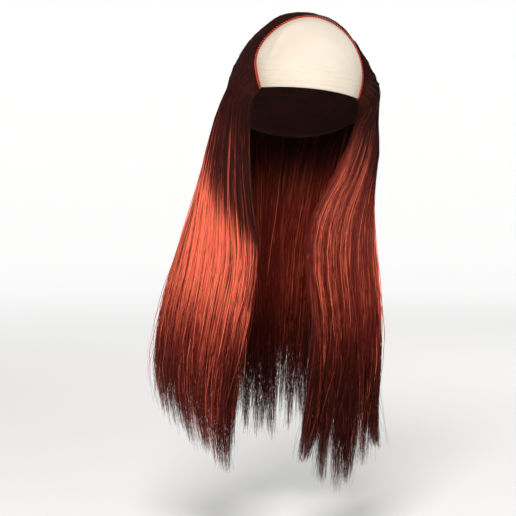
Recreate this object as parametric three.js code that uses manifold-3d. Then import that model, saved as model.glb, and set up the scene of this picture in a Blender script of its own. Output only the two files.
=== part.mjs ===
// A clown wig: a cream stretch panel over the brow and crown, edged with a raised
// orange-red seam, on a dark cap that carries long straight hair. The hair falls
// in two tresses in front of each shoulder and in a curtain at the back.
// Millimetres, +Z up, the wig faces -Y. The origin is the top of the hollow that
// the head fills. The wig is modelled as worn, on a head that nods and leans.

import * as THREE from 'three';
import { LoftGeometry } from 'three/addons/geometries/LoftGeometry.js';
import { mergeVertices } from 'three/addons/utils/BufferGeometryUtils.js';
import Module from 'manifold-3d';

const wasm = await Module();
wasm.setup();

// Hollow that the head fills, and how it is carried
const HEAD_HALF_WIDTH = 77;
const HEAD_FRONT = 96;
const HEAD_BACK = 100;
const HEAD_RISE = 104;
const HEAD_FALL = 125;
const HEAD_ROUNDNESS = 2.2;
const NOD = 9;
const LEAN = 6.3;

// Cloth
const PANEL_WALL = 1.3;
const HEM_WALL = 2.2;
const HEM_SHARE = 0.1;
const HEM_BOW = 1.5;
const WRINKLE = 0.8;
const CAP_WALL = 1.5;
const WELT_DIAMETER = 2.6;
const CLEARANCE = 0.35;

// Arch of the seam, degrees from the middle of the head
const ARCH_HALF = 50;
const ARCH_TOP = 79;
const ARCH_SHOULDER = 0.64;

// Rim of the cap, degrees round from the brow and above or below the middle of the head
const TEMPLE_TURN = 72;
const TEMPLE_LEVEL = -12;
const NAPE_LEVEL = -36;

// Hair
const HAIR_LENGTH = 612;
const LEFT_REACH = 209;
const RIGHT_REACH = 88.5;
const FORWARD_REACH = 86;
const BACKWARD_REACH = 150;
const BACK_HALF_WIDTH = 130;
const TRESS_THICKNESS = 30;
const CURTAIN_THICKNESS = 24;
const ROOT_LIFT = 2.4;
// Degrees round from the brow where the first tress and the last one leave the head
const TRESS_TURN = 48;
const SIDE_TURN = 95;
// Share of the half arch where the tresses end and the curtain begins
const PARTING = 0.42;
const GROOVE = 0.3;
const HAIR_GAP = 1.6;

// Half of the arch, from the brow corner to the top, in shares of its two angles
const ARCH = [
  { side: 0.855, rise: 0.14 },
  { side: 0.93, rise: 0.25 },
  { side: 0.98, rise: 0.41 },
  { side: 1.0, rise: 0.58 },
  { side: 0.94, rise: 0.74 },
  { side: 0.8, rise: 0.835 },
  { side: 0.62, rise: 0.885 },
  { side: 0.4, rise: 0.93 },
  { side: 0.18, rise: 0.975 },
  { side: 0.0, rise: 1.0 },
];

// Tresses in front of the shoulders: drop in shares of the hair's length, inner and
// outer edge in shares of each side's reach, how far forward the inner edge, the
// outer edge and the rear edge lie in shares of the forward reach
const TRESS = [
  { drop: 0.232, leftIn: 0.425, leftOut: 0.6, rightIn: 0.53, rightOut: 1.0, fore: 0.49, mid: 0.06, rear: -0.25, thick: 0.38 },
  { drop: 0.31, leftIn: 0.419, leftOut: 0.656, rightIn: 0.39, rightOut: 0.958, fore: 0.56, mid: 0.12, rear: -0.27, thick: 0.56 },
  { drop: 0.392, leftIn: 0.405, leftOut: 0.737, rightIn: -0.02, rightOut: 0.9, fore: 0.67, mid: 0.29, rear: -0.06, thick: 0.7 },
  { drop: 0.49, leftIn: 0.373, leftOut: 0.847, rightIn: -0.168, rightOut: 0.907, fore: 0.79, mid: 0.47, rear: 0.22, thick: 0.86 },
  { drop: 0.556, leftIn: 0.405, leftOut: 0.918, rightIn: -0.119, rightOut: 0.924, fore: 0.86, mid: 0.6, rear: 0.37, thick: 1.0 },
  { drop: 0.637, leftIn: 0.46, leftOut: 0.975, rightIn: -0.055, rightOut: 0.936, fore: 0.93, mid: 0.67, rear: 0.46, thick: 0.95 },
  { drop: 0.719, leftIn: 0.495, leftOut: 1.0, rightIn: -0.121, rightOut: 0.912, fore: 0.95, mid: 0.72, rear: 0.51, thick: 0.87 },
  { drop: 0.77, leftIn: 0.525, leftOut: 0.955, rightIn: -0.18, rightOut: 0.875, fore: 0.97, mid: 0.74, rear: 0.55, thick: 0.72 },
  { drop: 0.84, leftIn: 0.545, leftOut: 0.76, rightIn: -0.25, rightOut: 0.85, fore: 0.98, mid: 0.77, rear: 0.6, thick: 0.45 },
];

// Curtain at the back: drop in shares of the hair's length, its left and right edge and
// its middle in shares of the curtain's half width, how far back the edges and the
// middle lie in shares of the backward reach
const CURTAIN = [
  { drop: 0.25, left: -0.96, middle: -0.12, right: 0.68, edge: 0.16, back: 0.945, thick: 0.62 },
  { drop: 0.31, left: -0.98, middle: -0.15, right: 0.63, edge: 0.21, back: 0.96, thick: 0.78 },
  { drop: 0.392, left: -0.98, middle: -0.2, right: 0.57, edge: 0.35, back: 0.98, thick: 1.0 },
  { drop: 0.49, left: -0.95, middle: -0.25, right: 0.51, edge: 0.53, back: 0.98, thick: 1.0 },
  { drop: 0.6, left: -0.92, middle: -0.27, right: 0.45, edge: 0.64, back: 0.98, thick: 0.92 },
  { drop: 0.72, left: -0.88, middle: -0.29, right: 0.37, edge: 0.72, back: 0.97, thick: 0.8 },
  { drop: 0.8, left: -0.84, middle: -0.29, right: 0.33, edge: 0.74, back: 0.95, thick: 0.45 },
];

// Free ends of the locks, from the first edge of the mass to the last: where the tip ends
// sideways in shares of the side's reach or of the curtain's half width, and its drop in
// shares of the hair's length
const TIPS = {
  left_front_tress: [
    { aside: 0.55, drop: 0.93 },
    { aside: 0.575, drop: 0.945 },
    { aside: 0.6, drop: 0.92 },
  ],
  left_side_tress: [
    { aside: 0.64, drop: 0.9 },
    { aside: 0.68, drop: 0.895 },
    { aside: 0.73, drop: 0.875 },
  ],
  right_front_tress: [
    { aside: -0.3, drop: 0.92 },
    { aside: 0.0, drop: 0.97 },
    { aside: 0.22, drop: 1.0 },
  ],
  right_side_tress: [
    { aside: 0.38, drop: 0.975 },
    { aside: 0.58, drop: 0.95 },
    { aside: 0.84, drop: 0.9 },
  ],
  left_back_hair: [
    { aside: -0.8, drop: 0.86 },
    { aside: -0.68, drop: 0.89 },
    { aside: -0.52, drop: 0.91 },
    { aside: -0.36, drop: 0.92 },
  ],
  right_back_hair: [
    { aside: -0.2, drop: 0.93 },
    { aside: -0.05, drop: 0.91 },
    { aside: 0.12, drop: 0.9 },
    { aside: 0.27, drop: 0.87 },
  ],
};

const rad = THREE.MathUtils.degToRad;
const lerp = THREE.MathUtils.lerp;
const smooth = THREE.MathUtils.smoothstep;

// Head frame

function direction(side, rise) {
  const s = rad(side);
  const r = rad(rise);
  return new THREE.Vector3(Math.sin(s), -Math.cos(s) * Math.cos(r), Math.cos(s) * Math.sin(r));
}

function compass(turn, level) {
  const t = rad(turn);
  const l = rad(level);
  return new THREE.Vector3(Math.sin(t) * Math.cos(l), -Math.cos(t) * Math.cos(l), Math.sin(l));
}

function onHead(dir, lift) {
  const p = HEAD_ROUNDNESS;
  const depth = (dir.y < 0 ? HEAD_FRONT : HEAD_BACK) + lift;
  const height = (dir.z > 0 ? HEAD_RISE : HEAD_FALL) + lift;
  const sum = Math.pow(Math.abs(dir.x) / (HEAD_HALF_WIDTH + lift), p)
    + Math.pow(Math.abs(dir.y) / depth, p)
    + Math.pow(Math.abs(dir.z) / height, p);
  return dir.clone().multiplyScalar(Math.pow(sum, -1 / p)).setZ(dir.z * Math.pow(sum, -1 / p) - HEAD_RISE);
}

const CARRIAGE = new THREE.Matrix4().makeRotationY(rad(LEAN))
  .multiply(new THREE.Matrix4().makeRotationX(rad(NOD)));

function worn(dir, lift) {
  return onHead(dir, lift).applyMatrix4(CARRIAGE);
}

function between(a, b, t) {
  const angle = a.angleTo(b);
  const start = a.clone().multiplyScalar(Math.sin((1 - t) * angle));
  return start.add(b.clone().multiplyScalar(Math.sin(t * angle))).normalize();
}

// Arch of the seam

const archCurve = new THREE.CatmullRomCurve3([
  ...ARCH.map((row) => new THREE.Vector3(-row.side * ARCH_HALF, row.rise * ARCH_TOP, 0)),
  ...ARCH.slice(0, -1).reverse().map((row) => new THREE.Vector3(row.side * ARCH_HALF, row.rise * ARCH_TOP, 0)),
]);

// place runs from -1 at the left brow corner over the top to 1 at the right one
function archDirection(place) {
  const point = archCurve.getPointAt(THREE.MathUtils.clamp((place + 1) / 2, 0, 1));
  return direction(point.x, point.y);
}

// The arch moved sideways along the head, inwards to the panel where inset is positive
function archEdge(place, inset) {
  const step = 0.01;
  const here = archDirection(place);
  const along = archDirection(Math.min(place + step, 1)).sub(archDirection(Math.max(place - step, -1)));
  const inward = along.cross(here).normalize();
  const reach = onHead(here, 0).setZ(onHead(here, 0).z + HEAD_RISE).length();
  return here.multiplyScalar(reach).addScaledVector(inward, inset).normalize();
}

function anglesOf(dir) {
  return new THREE.Vector2(THREE.MathUtils.radToDeg(Math.asin(dir.x)),
    THREE.MathUtils.radToDeg(Math.atan2(dir.z, -dir.y)));
}

// Solids

function signedVolume(geometry) {
  const position = geometry.getAttribute('position');
  const index = geometry.getIndex();
  const corner = [new THREE.Vector3(), new THREE.Vector3(), new THREE.Vector3()];
  let volume = 0;
  for (let i = 0; i < index.count; i += 3) {
    corner.forEach((v, k) => v.fromBufferAttribute(position, index.getX(i + k)));
    volume += corner[0].dot(corner[1].clone().cross(corner[2])) / 6;
  }
  return volume;
}

function bareMesh(geometry) {
  const bare = new THREE.BufferGeometry();
  bare.setAttribute('position', geometry.getAttribute('position'));
  bare.setIndex(geometry.getIndex());
  const merged = mergeVertices(bare, 1e-4);
  const index = merged.getIndex();
  const kept = [];
  for (let i = 0; i < index.count; i += 3) {
    const face = [index.getX(i), index.getX(i + 1), index.getX(i + 2)];
    if (new Set(face).size === 3) kept.push(...face);
  }
  merged.setIndex(kept);
  return merged;
}

// Closed loft through rings of equal count, its faces turned outwards
function closedLoft(rings, capped = true) {
  const options = { closed: true, capStart: capped, capEnd: capped };
  const first = bareMesh(new LoftGeometry(rings, options));
  if (signedVolume(first) > 0) return first;
  return bareMesh(new LoftGeometry([...rings].reverse(), options));
}

// A ring drawn together to the middle of its wall, which closes a thin curved end
function pinched(ring) {
  const count = ring.length;
  return ring.map((point, i) => {
    const low = Math.min(i, count - 1 - i);
    return ring[low].clone().lerp(ring[count - 1 - low], 0.5);
  });
}

// Wall between an outer and an inner row of points, lofted from ring to ring
function wallLoft(rings) {
  return closedLoft([pinched(rings[0]), ...rings, pinched(rings[rings.length - 1])], false);
}

function toSolid(geometry) {
  return new wasm.Manifold(new wasm.Mesh({
    numProp: 3,
    vertProperties: new Float32Array(geometry.getAttribute('position').array),
    triVerts: new Uint32Array(geometry.getIndex().array),
  }));
}

function fromSolid(solid) {
  const mesh = solid.getMesh();
  const geometry = new THREE.BufferGeometry();
  geometry.setAttribute('position', new THREE.BufferAttribute(mesh.vertProperties, 3));
  geometry.setIndex(new THREE.BufferAttribute(mesh.triVerts, 1));
  return geometry;
}

// Cream panel, a wall between the hem over the brow and the arch of the seam

function hemAngles(share) {
  const inset = WELT_DIAMETER / 2 + CLEARANCE;
  const left = anglesOf(archEdge(-1, inset));
  const right = anglesOf(archEdge(1, inset));
  const point = left.lerp(right, share);
  point.y += HEM_BOW * Math.sin(Math.PI * share);
  return point;
}

function panelAngles(u, v) {
  const inset = WELT_DIAMETER / 2 + CLEARANCE;
  const edge = (place) => anglesOf(archEdge(place, inset));
  const left = edge(-1 + v * (1 - ARCH_SHOULDER));
  const right = edge(1 - v * (1 - ARCH_SHOULDER));
  const top = edge(lerp(-ARCH_SHOULDER, ARCH_SHOULDER, u));
  const hem = hemAngles(u);
  const sides = left.clone().lerp(right, u);
  const ends = hem.clone().lerp(top, v);
  const lowCorners = edge(-1).lerp(edge(1), u);
  const highCorners = edge(-ARCH_SHOULDER).lerp(edge(ARCH_SHOULDER), u);
  return sides.add(ends).sub(lowCorners.lerp(highCorners, v));
}

function baldPanel() {
  const columns = 24;
  const rows = 11;
  const rings = [];
  for (let i = 0; i <= columns; i += 1) {
    const u = i / columns;
    const outside = [];
    const inside = [];
    for (let j = 0; j <= rows; j += 1) {
      const v = Math.pow(j / rows, 1.15);
      const angles = panelAngles(u, v);
      const dir = direction(angles.x, angles.y);
      const middle = Math.sin(Math.PI * u);
      const ease = WRINKLE * middle * Math.pow(Math.sin(Math.PI * Math.min(v / 0.34, 1) * 2), 2);
      const wall = v < HEM_SHARE ? HEM_WALL : PANEL_WALL;
      outside.push(worn(dir, ease + wall));
      inside.unshift(worn(dir, ease));
    }
    rings.push([...outside, ...inside]);
  }
  return wallLoft(rings);
}

// Raised seam, a round welt along the arch

function edgeSeam() {
  const steps = 46;
  const sides = 8;
  const radius = WELT_DIAMETER / 2;
  const rings = [];
  for (let i = 0; i <= steps; i += 1) {
    const place = -1 + (2 * i) / steps;
    const dir = archDirection(place);
    const centre = worn(dir, radius);
    const ahead = worn(archDirection(Math.min(place + 0.01, 1)), radius);
    const behind = worn(archDirection(Math.max(place - 0.01, -1)), radius);
    const along = ahead.sub(behind).normalize();
    const out = worn(dir, radius + 1).sub(centre);
    const across = out.clone().cross(along).normalize();
    const upright = along.clone().cross(across).normalize();
    const ring = [];
    for (let k = 0; k < sides; k += 1) {
      const turn = (2 * Math.PI * (k + 0.5)) / sides;
      ring.push(centre.clone()
        .addScaledVector(across, radius * Math.cos(turn))
        .addScaledVector(upright, radius * Math.sin(turn)));
    }
    rings.push(ring);
  }
  return closedLoft(rings);
}

// Cap under the hair, from the seam back over the crown to the rim

function rimDirection(place) {
  const back = 1 - Math.abs(place);
  const turn = lerp(TEMPLE_TURN, 180, Math.pow(back, 0.8));
  const level = lerp(TEMPLE_LEVEL, NAPE_LEVEL, Math.sin((Math.PI / 2) * back));
  return compass(Math.sign(place) * turn, level);
}

function wigCap() {
  const columns = 36;
  const rows = 9;
  const outset = -(WELT_DIAMETER / 2 + CLEARANCE);
  const rings = [];
  for (let i = 0; i <= columns; i += 1) {
    const place = -1 + (2 * i) / columns;
    const start = archEdge(place, outset);
    const end = rimDirection(place === 0 ? 1e-6 : place);
    const outside = [];
    const inside = [];
    for (let j = 0; j <= rows; j += 1) {
      const dir = between(start, end, j / rows);
      outside.push(worn(dir, CAP_WALL));
      inside.unshift(worn(dir, 0));
    }
    rings.push([...outside, ...inside]);
  }
  return wallLoft(rings);
}

// Hair. A mass is a set of paths side by side: each path leaves the seam, lies on the cap
// and then hangs. Every key point has an outer and an inner place.

const CAP_KEYS = [
  { share: 0.03, lift: 0.76, thick: 0.04 },
  { share: 0.2, lift: 1.7, thick: 0.1 },
  { share: 0.4, lift: 2.0, thick: 0.2 },
  { share: 0.6, lift: 2.0, thick: 0.34 },
  { share: 0.8, lift: 2.0, thick: 0.48 },
  { share: 0.98, lift: 2.0, thick: 0.6 },
];

function capKeys(place, leave, thickness) {
  const start = archEdge(place, -(WELT_DIAMETER / 2 + CLEARANCE));
  return CAP_KEYS.map((key) => {
    const dir = between(start, leave, key.share);
    const lift = ROOT_LIFT * key.lift;
    return { outer: worn(dir, lift + 1 + key.thick * thickness), inner: worn(dir, lift) };
  });
}

function hangKey(points, place, z, thickness) {
  const across = THREE.MathUtils.clamp(place, 0, 1);
  const curve = new THREE.QuadraticBezierCurve(...points);
  const at = curve.getPointAt(across);
  const tangent = curve.getTangentAt(across);
  const outer = new THREE.Vector3(at.x, at.y, z);
  const inwards = new THREE.Vector3(-tangent.y, tangent.x, 0);
  return { outer, inner: outer.clone().addScaledVector(inwards, thickness) };
}

function edgeFade(across) {
  return 0.6 + 0.4 * Math.sin(Math.PI * across);
}

function tressPath(hand, across) {
  const place = hand * lerp(1, PARTING, across);
  const leave = compass(hand * lerp(TRESS_TURN, SIDE_TURN, across), lerp(-3, -5, across));
  const keys = capKeys(place, leave, TRESS_THICKNESS * edgeFade(across));
  for (const row of TRESS) {
    const reach = hand < 0 ? LEFT_REACH : RIGHT_REACH;
    const inner = hand * reach * (hand < 0 ? row.leftIn : row.rightIn);
    const outer = hand * reach * (hand < 0 ? row.leftOut : row.rightOut);
    const near = new THREE.Vector2(inner, -FORWARD_REACH * row.fore);
    const far = new THREE.Vector2(outer - hand * 4, -FORWARD_REACH * row.rear);
    const bulge = new THREE.Vector2(outer * 2 - (near.x + far.x) / 2, 0);
    bulge.x = hand * Math.min(Math.abs(outer) + 12, hand * bulge.x);
    bulge.y = -FORWARD_REACH * (2 * row.mid - (row.fore + row.rear) / 2) - 10;
    const points = [near, bulge, far];
    const key = hangKey(points, across, -row.drop * HAIR_LENGTH, hand * TRESS_THICKNESS * row.thick * edgeFade(across));
    keys.push(key);
  }
  return keys;
}

function curtainPath(across) {
  const place = lerp(-PARTING, PARTING, across);
  const turn = lerp(-SIDE_TURN, SIDE_TURN - 360, across);
  const leave = compass(turn, -5 - 20 * Math.sin(Math.PI * across));
  const keys = capKeys(place, leave, CURTAIN_THICKNESS * edgeFade(across));
  for (const row of CURTAIN) {
    const near = new THREE.Vector2(row.left * BACK_HALF_WIDTH, row.edge * BACKWARD_REACH);
    const far = new THREE.Vector2(row.right * BACK_HALF_WIDTH, row.edge * BACKWARD_REACH);
    const middle = new THREE.Vector2(row.middle * BACK_HALF_WIDTH, row.back * BACKWARD_REACH);
    const bulge = middle.multiplyScalar(2).sub(near.clone().add(far).multiplyScalar(0.5));
    const points = [near, bulge, far];
    keys.push(hangKey(points, across, -row.drop * HAIR_LENGTH, -CURTAIN_THICKNESS * row.thick * edgeFade(across)));
  }
  return keys;
}

function sampleKeys(keys, stations) {
  const outer = new THREE.CatmullRomCurve3(keys.map((key) => key.outer));
  const inner = new THREE.CatmullRomCurve3(keys.map((key) => key.inner));
  const samples = [];
  for (let i = 0; i <= stations; i += 1) {
    samples.push({ outer: outer.getPoint(i / stations), inner: inner.getPoint(i / stations) });
  }
  return samples;
}

// One mass of hair between two places across, its outside in ridges, one for each lock
function massRings(path, from, to, locks, stations) {
  const perLock = 3;
  const count = locks * perLock;
  const columns = [];
  for (let i = 0; i <= count; i += 1) {
    const share = i / count;
    const crest = Math.pow(Math.abs(Math.sin(Math.PI * locks * share)), 0.7);
    const samples = sampleKeys(path(lerp(from, to, share)), stations);
    columns.push(samples.map(({ outer, inner }) => ({
      outer: inner.clone().lerp(outer, 1 - GROOVE * (1 - crest)),
      inner,
    })));
  }
  const trim = (edge, next, side) => edge.map((sample, k) => {
    const pull = next[k][side].clone().sub(sample[side]).normalize().multiplyScalar(HAIR_GAP);
    return sample[side].clone().add(pull);
  });
  const rings = [];
  const firstOuter = trim(columns[0], columns[1], 'outer');
  const firstInner = trim(columns[0], columns[1], 'inner');
  const lastOuter = trim(columns[count], columns[count - 1], 'outer');
  const lastInner = trim(columns[count], columns[count - 1], 'inner');
  for (let k = 0; k <= stations; k += 1) {
    const outside = columns.slice(1, count).map((column) => column[k].outer);
    const inside = columns.slice(1, count).map((column) => column[k].inner).reverse();
    rings.push([firstOuter[k], ...outside, lastOuter[k], lastInner[k], ...inside, firstInner[k]]);
  }
  return rings;
}

// The free end of one lock, which starts inside the mass and narrows to its tip
function tipRings(path, across, spacing, end) {
  const sides = 6;
  const steps = 6;
  const keys = path(across);
  const last = keys.length - 1;
  const centreOf = (key) => key.outer.clone().lerp(key.inner, 0.5);
  const start = centreOf(keys[last]).lerp(centreOf(keys[last - 1]), 0.8);
  const middle = centreOf(keys[last]);
  const tip = new THREE.Vector3(end.x, middle.y + 3, end.y);
  middle.z -= 8;
  const line = new THREE.QuadraticBezierCurve3(start, middle, tip);
  const near = path(across - spacing / 2)[last].outer;
  const far = path(across + spacing / 2)[last].outer;
  const sideways = far.clone().sub(near).setZ(0);
  const halfWidth = 0.45 * sideways.length();
  sideways.normalize();
  const depth = 0.42 * keys[last - 1].outer.distanceTo(keys[last - 1].inner);
  const facing = new THREE.Vector3(-sideways.y, sideways.x, 0);
  const rings = [];
  for (let i = 0; i <= steps; i += 1) {
    const t = i / steps;
    const at = line.getPoint(t);
    const fullness = Math.pow(1 - 0.97 * t, 0.55);
    const ring = [];
    for (let k = 0; k < sides; k += 1) {
      const turn = (2 * Math.PI * (k + 0.5)) / sides;
      ring.push(at.clone()
        .addScaledVector(sideways, halfWidth * fullness * Math.cos(turn))
        .addScaledVector(facing, depth * fullness * Math.sin(turn)));
    }
    rings.push(ring);
  }
  return rings;
}

function hairMass(name, path, from, to, reach) {
  const tips = TIPS[name];
  const stations = 19;
  const body = toSolid(wallLoft(massRings(path, from, to, tips.length, stations)));
  const spacing = (to - from) / tips.length;
  const fused = tips.reduce((solid, tip, i) => {
    const end = new THREE.Vector2(tip.aside * reach, -tip.drop * HAIR_LENGTH);
    const lock = closedLoft(tipRings(path, from + (i + 0.5) * spacing, spacing, end));
    return solid.add(toSolid(lock));
  }, body);
  const shells = fused.decompose().sort((a, b) => b.volume() - a.volume());
  return fromSolid(shells[0]);
}

// Assembly

const finishes = {
  ivory: { color: 0xeddfc8, roughness: 0.75, metalness: 0 },
  seam: { color: 0xc2452f, roughness: 0.8, metalness: 0 },
  cap: { color: 0x2a1715, roughness: 0.9, metalness: 0 },
  hair: { color: 0xa8352a, roughness: 0.45, metalness: 0 },
};

function addPart(group, name, geometry, finish) {
  const mesh = new THREE.Mesh(geometry, new THREE.MeshStandardMaterial(finishes[finish]));
  mesh.name = name;
  group.add(mesh);
}

const leftTress = (across) => tressPath(-1, across);
const rightTress = (across) => tressPath(1, across);

const wig = new THREE.Group();
wig.name = 'clown_wig';
addPart(wig, 'bald_panel', baldPanel(), 'ivory');
addPart(wig, 'edge_seam', edgeSeam(), 'seam');
addPart(wig, 'wig_cap', wigCap(), 'cap');
addPart(wig, 'left_front_tress', hairMass('left_front_tress', leftTress, 0, 0.5, -LEFT_REACH), 'hair');
addPart(wig, 'left_side_tress', hairMass('left_side_tress', leftTress, 0.5, 1, -LEFT_REACH), 'hair');
addPart(wig, 'right_front_tress', hairMass('right_front_tress', rightTress, 0, 0.5, RIGHT_REACH), 'hair');
addPart(wig, 'right_side_tress', hairMass('right_side_tress', rightTress, 0.5, 1, RIGHT_REACH), 'hair');
addPart(wig, 'left_back_hair', hairMass('left_back_hair', curtainPath, 0, 0.5, BACK_HALF_WIDTH), 'hair');
addPart(wig, 'right_back_hair', hairMass('right_back_hair', curtainPath, 0.5, 1, BACK_HALF_WIDTH), 'hair');

export default wig;
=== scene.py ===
"""Dressed model of a long-haired clown wig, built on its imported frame.

Everything is in metres in the row frame: +Z up, the wig faces -Y, and the origin is
the top of the hollow that the head fills. Angles are in degrees.
"""

import logging
import math
from dataclasses import dataclass, field
from enum import Enum

import bpy
import numpy as np
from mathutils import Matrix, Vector


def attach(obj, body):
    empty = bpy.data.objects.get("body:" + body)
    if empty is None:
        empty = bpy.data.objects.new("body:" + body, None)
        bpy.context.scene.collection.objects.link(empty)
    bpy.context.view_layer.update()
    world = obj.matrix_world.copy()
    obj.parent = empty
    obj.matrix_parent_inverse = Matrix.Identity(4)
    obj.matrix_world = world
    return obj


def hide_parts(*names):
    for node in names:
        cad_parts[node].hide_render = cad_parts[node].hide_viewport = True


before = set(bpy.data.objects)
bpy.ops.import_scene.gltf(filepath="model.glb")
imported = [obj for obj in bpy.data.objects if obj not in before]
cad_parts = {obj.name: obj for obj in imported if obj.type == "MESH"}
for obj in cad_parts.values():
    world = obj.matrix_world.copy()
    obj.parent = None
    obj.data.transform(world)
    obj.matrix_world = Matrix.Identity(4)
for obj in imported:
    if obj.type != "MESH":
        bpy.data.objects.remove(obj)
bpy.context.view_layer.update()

Array = np.ndarray
Colour = tuple[float, float, float]
Material = bpy.types.Material
Mesh = bpy.types.Mesh
Object = bpy.types.Object
Point = tuple[float, float, float]
Socket = bpy.types.NodeSocket
Tree = bpy.types.NodeTree

LOG = logging.getLogger("wig")
MM = 0.001
FULL_TURN = 6.28318


class Hand(Enum):
    """Side of the wig as the viewer sees it from the front."""

    LEFT = -1
    RIGHT = 1


class Layer(Enum):
    """Depths of a strand in its mass, from the inner face 0 to the outer face 1, and their chance."""

    OUTER = (0.72, 1.02, 0.60)
    INNER = (0.0, 0.2, 0.25)
    MIDDLE = (0.2, 0.75, 0.15)


def unit(vectors: Array) -> Array:
    """Vectors scaled to length one."""
    return vectors / np.linalg.norm(vectors, axis=-1, keepdims=True)


def side_direction(side: Array, rise: Array) -> Array:
    """Directions in the head's frame, by the angle to the side and the angle up from the brow."""
    s, r = np.radians(side), np.radians(rise)
    return np.stack([np.sin(s), -np.cos(s) * np.cos(r), np.cos(s) * np.sin(r)], axis=-1)


def compass_direction(turn: Array, level: Array) -> Array:
    """Directions in the head's frame, by the angle round from the brow and the angle upwards."""
    t, e = np.radians(turn), np.radians(level)
    return np.stack([np.sin(t) * np.cos(e), -np.cos(t) * np.cos(e), np.sin(e)], axis=-1)


def angles_of(direction: Array) -> Array:
    """Side and rise angles of directions."""
    rise = np.arctan2(direction[..., 2], -direction[..., 1])
    return np.degrees(np.stack([np.arcsin(np.clip(direction[..., 0], -1, 1)), rise], axis=-1))


def between(start: Array, end: Array, share: Array) -> Array:
    """Finds directions on the great circle between two directions.

    Args:
        start: Unit vectors.
        end: Unit vectors.
        share: Share of the way, 0 at start and 1 at end.

    Returns:
        Unit vectors.
    """
    share = np.asarray(share)[..., None]
    angle = np.arccos(np.clip(np.sum(start * end, axis=-1, keepdims=True), -1, 1))
    return unit(start * np.sin((1 - share) * angle) + end * np.sin(share * angle))


def smooth_step(value: Array, low: float, high: float) -> Array:
    """Smooth rise from 0 at low to 1 at high."""
    t = np.clip((value - low) / (high - low), 0, 1)
    return t * t * (3 - 2 * t)


def bow_point(points: Array, t: Array) -> Array:
    """Points of the quadratic curve with three control points."""
    return points[0] * (1 - t) ** 2 + 2 * points[1] * t * (1 - t) + points[2] * t**2


def run_length(points: Array) -> Array:
    """Distance of each point from the first, along the line."""
    return np.concatenate([[0], np.cumsum(np.linalg.norm(np.diff(points, axis=0), axis=1))])


def spline(keys: Array, at: Array) -> Array:
    """Draws smooth curves through key points, one curve for each column.

    Args:
        keys: Key points, (keys, curves, 3).
        at: Places along each curve, (curves, samples), 0 at the first key.

    Returns:
        Points, (curves, samples, 3).
    """
    padded = np.concatenate([2 * keys[:1] - keys[1:2], keys, 2 * keys[-1:] - keys[-2:-1]])
    index = np.clip(np.floor(at).astype(int), 0, len(keys) - 2)
    f = (at - index)[..., None]
    column = np.arange(keys.shape[1])[:, None]
    a, b, c, d = (padded[index + k, column] for k in range(4))
    return 0.5 * (2 * b + (c - a) * f + (2 * a - 5 * b + 4 * c - d) * f**2
                  + (3 * b - a - 3 * c + d) * f**3)


@dataclass(frozen=True)
class HeadForm:
    """Hollow that the head fills, and how the head carries it."""

    half_width: float = 0.077
    front: float = 0.096
    back: float = 0.1
    rise: float = 0.104
    fall: float = 0.125
    roundness: float = 2.2
    nod: float = 9.0
    lean: float = 6.3

    def carriage(self) -> Array:
        """Works out the rotation from the head's own frame to the row frame.

        Returns:
            Matrix for column vectors.
        """
        n, s = math.radians(self.nod), math.radians(self.lean)
        nod = np.array([[1, 0, 0], [0, math.cos(n), -math.sin(n)], [0, math.sin(n), math.cos(n)]])
        lean = np.array([[math.cos(s), 0, math.sin(s)], [0, 1, 0], [-math.sin(s), 0, math.cos(s)]])
        return lean @ nod

    def own(self, points: Array) -> Array:
        """Points of the row frame, in the head's own frame and from its middle."""
        return points @ self.carriage() + np.array([0, 0, self.rise])

    def place(self, direction: Array, lift: Array | float) -> Array:
        """Finds points above the head's surface.

        Args:
            direction: Unit vectors in the head's own frame.
            lift: Height above the surface.

        Returns:
            Points in the row frame.
        """
        lift = np.broadcast_to(np.asarray(lift, dtype=float), direction.shape[:-1])
        x, y, z = (np.abs(direction[..., k]) for k in range(3))
        deep = np.where(direction[..., 1] < 0, self.front, self.back) + lift
        high = np.where(direction[..., 2] > 0, self.rise, self.fall) + lift
        power = self.roundness
        total = (x / (self.half_width + lift)) ** power + (y / deep) ** power + (z / high) ** power
        points = direction * (total ** (-1 / power))[..., None]
        return (points - np.array([0, 0, self.rise])) @ self.carriage().T

    def clear(self, points: Array, lift: Array | float) -> Array:
        """Moves points straight out of the head where they lie too deep.

        Args:
            points: Points in the row frame.
            lift: Least height above the surface.

        Returns:
            Points in the row frame.
        """
        own = self.own(points)
        length = np.linalg.norm(own, axis=-1)
        surface = self.place(own / length[..., None], lift)
        shell = np.linalg.norm(self.own(surface), axis=-1)
        return np.where((length < shell)[..., None], surface, points)


@dataclass(frozen=True)
class ArchRow:
    """A point of half the arch, in shares of the arch's two angles."""

    side: float
    rise: float


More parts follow.
